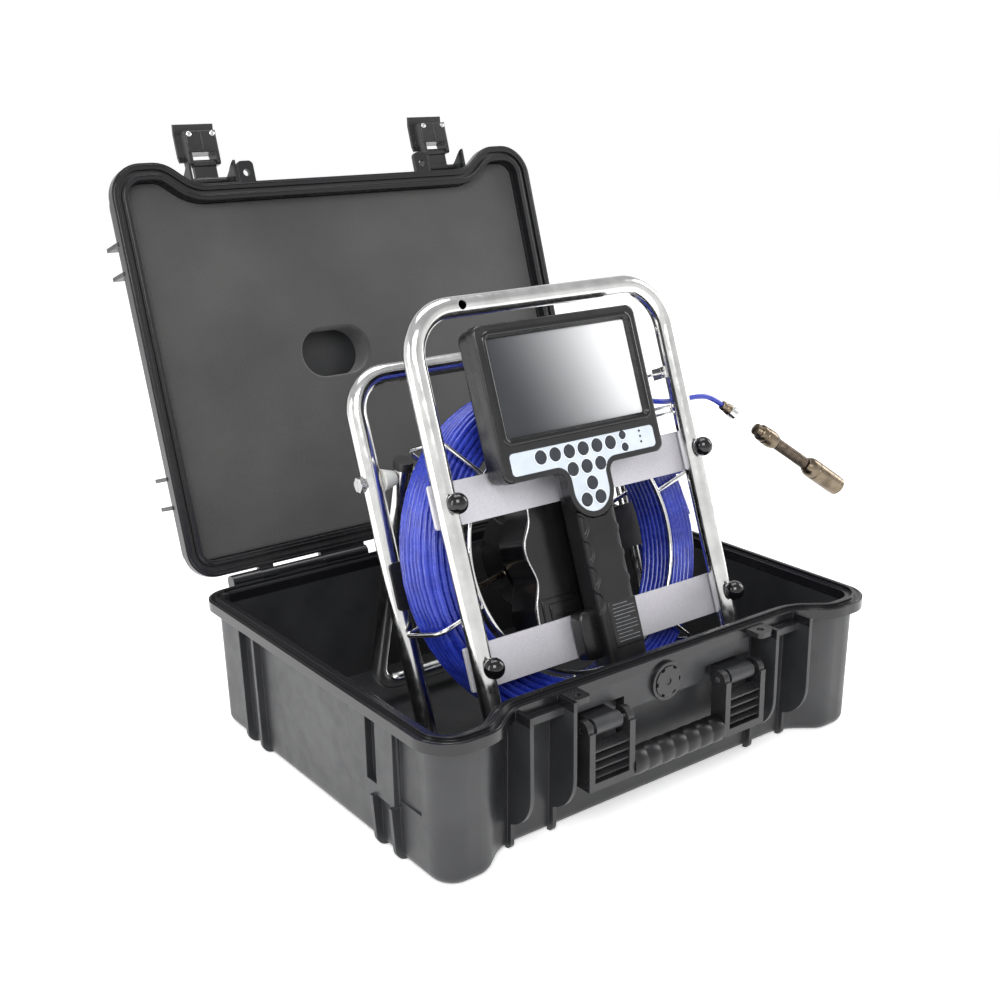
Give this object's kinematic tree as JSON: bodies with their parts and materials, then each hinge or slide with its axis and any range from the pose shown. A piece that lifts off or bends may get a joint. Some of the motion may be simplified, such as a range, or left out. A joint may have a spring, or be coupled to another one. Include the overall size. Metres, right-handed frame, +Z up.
{
  "type": "pipe inspection camera",
  "caption": "Pipe inspection camera: open waterproof case with a tubular rack holding a blue push-rod reel, a keypad monitor with hand grip and a spring camera head.",
  "frame": {"origin": "middle of the case's underside, midway between its sides and between its front corner blocks and rear rim", "axes": "+X to the right seen from the front, -Y to the front where the handle is, +Z up"},
  "size_m": [0.6171, 0.5921, 0.5694],
  "materials": {
    "case_plastic": "moulded, lightly textured",
    "foam": "open-cell foam",
    "seal": "matt",
    "steel_pins": "bright",
    "black_plastic": "satin",
    "chrome_tube": "polished",
    "plate_silver": "fine matt",
    "feet_rubber": "matt",
    "blue_rod": "smooth sheath",
    "bronze": "nickel bronze, satin",
    "nylon": "natural white",
    "keypad_film": "printed film",
    "key_rubber": "matt",
    "display": "glossy"
  },
  "bodies": {
    "case": {"case_base": "case_plastic", "padlock_eyes": "case_plastic", "case_pins": "steel_pins", "valve_body": "case_plastic"},
    "valve_cap": {"valve_knob": "case_plastic"},
    "lid": {"lid_shell": "case_plastic", "lid_gasket": "seal", "lid_foam": "foam", "latch_pins": "steel_pins"},
    "latch_link_left_body": {"latch_link_left": "black_plastic"},
    "latch_link_right_body": {"latch_link_right": "black_plastic"},
    "latch_lever_left_body": {"latch_lever_left": "black_plastic"},
    "latch_lever_right_body": {"latch_lever_right": "black_plastic"},
    "carry_handle": {"handle_frame": "black_plastic", "handle_grip": "case_plastic"},
    "rack": {"front_frame": "chrome_tube", "rear_frame": "chrome_tube", "floor_rails": "black_plastic", "frame_feet": "feet_rubber", "upper_plate": "plate_silver", "lower_plate": "plate_silver", "plate_studs": "steel_pins", "reel_bracket": "plate_silver", "electronics_box": "black_plastic", "cable_guide": "chrome_tube", "kick_bolts": "steel_pins", "kick_spacers": "nylon", "push_rod_lead": "blue_rod", "lead_connector": "bronze"},
    "reel": {"reel_cage": "chrome_tube", "reel_hub": "black_plastic", "push_rod_coil": "blue_rod"},
    "kickstand": {"kickstand_tube": "chrome_tube", "kickstand_caps": "black_plastic"},
    "monitor": {"monitor_shell": "black_plastic", "monitor_bezel": "black_plastic", "monitor_screen": "display", "keypad_panel": "keypad_film", "grip_body": "black_plastic"},
    "camera_head": {"head_collar": "bronze", "head_spring": "bronze", "head_body": "bronze"},
    "knob_upper_left_body": {"knob_upper_left": "black_plastic"},
    "knob_upper_right_body": {"knob_upper_right": "black_plastic"},
    "knob_lower_left_body": {"knob_lower_left": "black_plastic"},
    "knob_lower_right_body": {"knob_lower_right": "black_plastic"},
    "key_01_body": {"key_01": "key_rubber"},
    "key_02_body": {"key_02": "key_rubber"},
    "key_03_body": {"key_03": "key_rubber"},
    "key_04_body": {"key_04": "key_rubber"},
    "key_05_body": {"key_05": "key_rubber"},
    "key_06_body": {"key_06": "key_rubber"},
    "key_07_body": {"key_07": "key_rubber"},
    "key_08_body": {"key_08": "key_rubber"},
    "key_09_body": {"key_09": "key_rubber"},
    "key_10_body": {"key_10": "key_rubber"},
    "key_11_body": {"key_11": "key_rubber"},
    "key_12_body": {"key_12": "key_rubber"},
    "key_13_body": {"key_13": "key_rubber"},
    "key_14_body": {"key_14": "key_rubber"}
  },
  "joints": [
    {"name": "lid_hinge", "type": "hinge", "parent": "case", "child": "lid", "pos_m": [0, 0.2159, 0.132], "axis": [1, 0, 0], "range_deg": [0, 32]},
    {"name": "latch_left_link", "type": "hinge", "parent": "lid", "child": "latch_link_left_body", "pos_m": [-0.143, 0.35761, 0.51299], "axis": [1, 0, 0], "range_deg": [-15, 50]},
    {"name": "latch_left_lever", "type": "hinge", "parent": "latch_link_left_body", "child": "latch_lever_left_body", "pos_m": [-0.143, 0.36296, 0.53018], "axis": [-1, 0, 0], "range_deg": [0, 75]},
    {"name": "latch_right_link", "type": "hinge", "parent": "lid", "child": "latch_link_right_body", "pos_m": [0.143, 0.35761, 0.51299], "axis": [1, 0, 0], "range_deg": [-15, 50]},
    {"name": "latch_right_lever", "type": "hinge", "parent": "latch_link_right_body", "child": "latch_lever_right_body", "pos_m": [0.143, 0.36296, 0.53018], "axis": [-1, 0, 0], "range_deg": [0, 75]},
    {"name": "handle_swing", "type": "hinge", "parent": "case", "child": "carry_handle", "pos_m": [0, -0.193, 0.097], "axis": [-1, 0, 0], "range_deg": [0, 100]},
    {"name": "valve_turn", "type": "hinge", "parent": "case", "child": "valve_cap", "pos_m": [0, -0.1842, 0.109], "axis": [0, -1, 0], "continuous": true},
    {"name": "rack_lift", "type": "slide", "parent": "case", "child": "rack", "axis": [0, 0, 1], "range_m": [0, 0.15]},
    {"name": "reel_spin", "type": "hinge", "parent": "rack", "child": "reel", "pos_m": [0, -0.02755, 0.187], "axis": [0, -0.9406, 0.3396], "continuous": true},
    {"name": "kickstand_fold", "type": "hinge", "parent": "rack", "child": "kickstand", "pos_m": [0, 0.0536, 0.26072], "axis": [1, 0, 0], "range_deg": [-34.9, 15]},
    {"name": "knob_upper_left_turn", "type": "hinge", "parent": "rack", "child": "knob_upper_left_body", "pos_m": [-0.1426, -0.07381, 0.27089], "axis": [0, -0.9406, 0.3396], "continuous": true},
    {"name": "knob_upper_right_turn", "type": "hinge", "parent": "rack", "child": "knob_upper_right_body", "pos_m": [0.1426, -0.07381, 0.27089], "axis": [0, -0.9406, 0.3396], "continuous": true},
    {"name": "knob_lower_left_turn", "type": "hinge", "parent": "rack", "child": "knob_lower_left_body", "pos_m": [-0.1426, -0.12156, 0.13865], "axis": [0, -0.9406, 0.3396], "continuous": true},
    {"name": "knob_lower_right_turn", "type": "hinge", "parent": "rack", "child": "knob_lower_right_body", "pos_m": [0.1426, -0.12156, 0.13865], "axis": [0, -0.9406, 0.3396], "continuous": true},
    {"name": "monitor_release", "type": "slide", "parent": "rack", "child": "monitor", "axis": [0, -0.9406, 0.3396], "range_m": [0, 0.018]},
    {"name": "key_01_press", "type": "slide", "parent": "monitor", "child": "key_01_body", "axis": [0, 0.9406, -0.3396], "range_m": [0, 0.0008], "stiffness_N_per_m": 300, "springref_m": -0.0004},
    {"name": "key_02_press", "type": "slide", "parent": "monitor", "child": "key_02_body", "axis": [0, 0.9406, -0.3396], "range_m": [0, 0.0008], "stiffness_N_per_m": 300, "springref_m": -0.0004},
    {"name": "key_03_press", "type": "slide", "parent": "monitor", "child": "key_03_body", "axis": [0, 0.9406, -0.3396], "range_m": [0, 0.0008], "stiffness_N_per_m": 300, "springref_m": -0.0004},
    {"name": "key_04_press", "type": "slide", "parent": "monitor", "child": "key_04_body", "axis": [0, 0.9406, -0.3396], "range_m": [0, 0.0008], "stiffness_N_per_m": 300, "springref_m": -0.0004},
    {"name": "key_05_press", "type": "slide", "parent": "monitor", "child": "key_05_body", "axis": [0, 0.9406, -0.3396], "range_m": [0, 0.0008], "stiffness_N_per_m": 300, "springref_m": -0.0004},
    {"name": "key_06_press", "type": "slide", "parent": "monitor", "child": "key_06_body", "axis": [0, 0.9406, -0.3396], "range_m": [0, 0.0008], "stiffness_N_per_m": 300, "springref_m": -0.0004},
    {"name": "key_07_press", "type": "slide", "parent": "monitor", "child": "key_07_body", "axis": [0, 0.9406, -0.3396], "range_m": [0, 0.0008], "stiffness_N_per_m": 300, "springref_m": -0.0004},
    {"name": "key_08_press", "type": "slide", "parent": "monitor", "child": "key_08_body", "axis": [0, 0.9406, -0.3396], "range_m": [0, 0.0008], "stiffness_N_per_m": 300, "springref_m": -0.0004},
    {"name": "key_09_press", "type": "slide", "parent": "monitor", "child": "key_09_body", "axis": [0, 0.9406, -0.3396], "range_m": [0, 0.0008], "stiffness_N_per_m": 300, "springref_m": -0.0004},
    {"name": "key_10_press", "type": "slide", "parent": "monitor", "child": "key_10_body", "axis": [0, 0.9406, -0.3396], "range_m": [0, 0.0008], "stiffness_N_per_m": 300, "springref_m": -0.0004},
    {"name": "key_11_press", "type": "slide", "parent": "monitor", "child": "key_11_body", "axis": [0, 0.9406, -0.3396], "range_m": [0, 0.0008], "stiffness_N_per_m": 300, "springref_m": -0.0004},
    {"name": "key_12_press", "type": "slide", "parent": "monitor", "child": "key_12_body", "axis": [0, 0.9406, -0.3396], "range_m": [0, 0.0008], "stiffness_N_per_m": 300, "springref_m": -0.0004},
    {"name": "key_13_press", "type": "slide", "parent": "monitor", "child": "key_13_body", "axis": [0, 0.9406, -0.3396], "range_m": [0, 0.0008], "stiffness_N_per_m": 300, "springref_m": -0.0004},
    {"name": "key_14_press", "type": "slide", "parent": "monitor", "child": "key_14_body", "axis": [0, 0.9406, -0.3396], "range_m": [0, 0.0008], "stiffness_N_per_m": 300, "springref_m": -0.0004},
    {"name": "head_draw", "type": "slide", "parent": "rack", "child": "camera_head", "axis": [0.7872, -0.2094, -0.58], "range_m": [-0.0307, 0]}
  ]
}
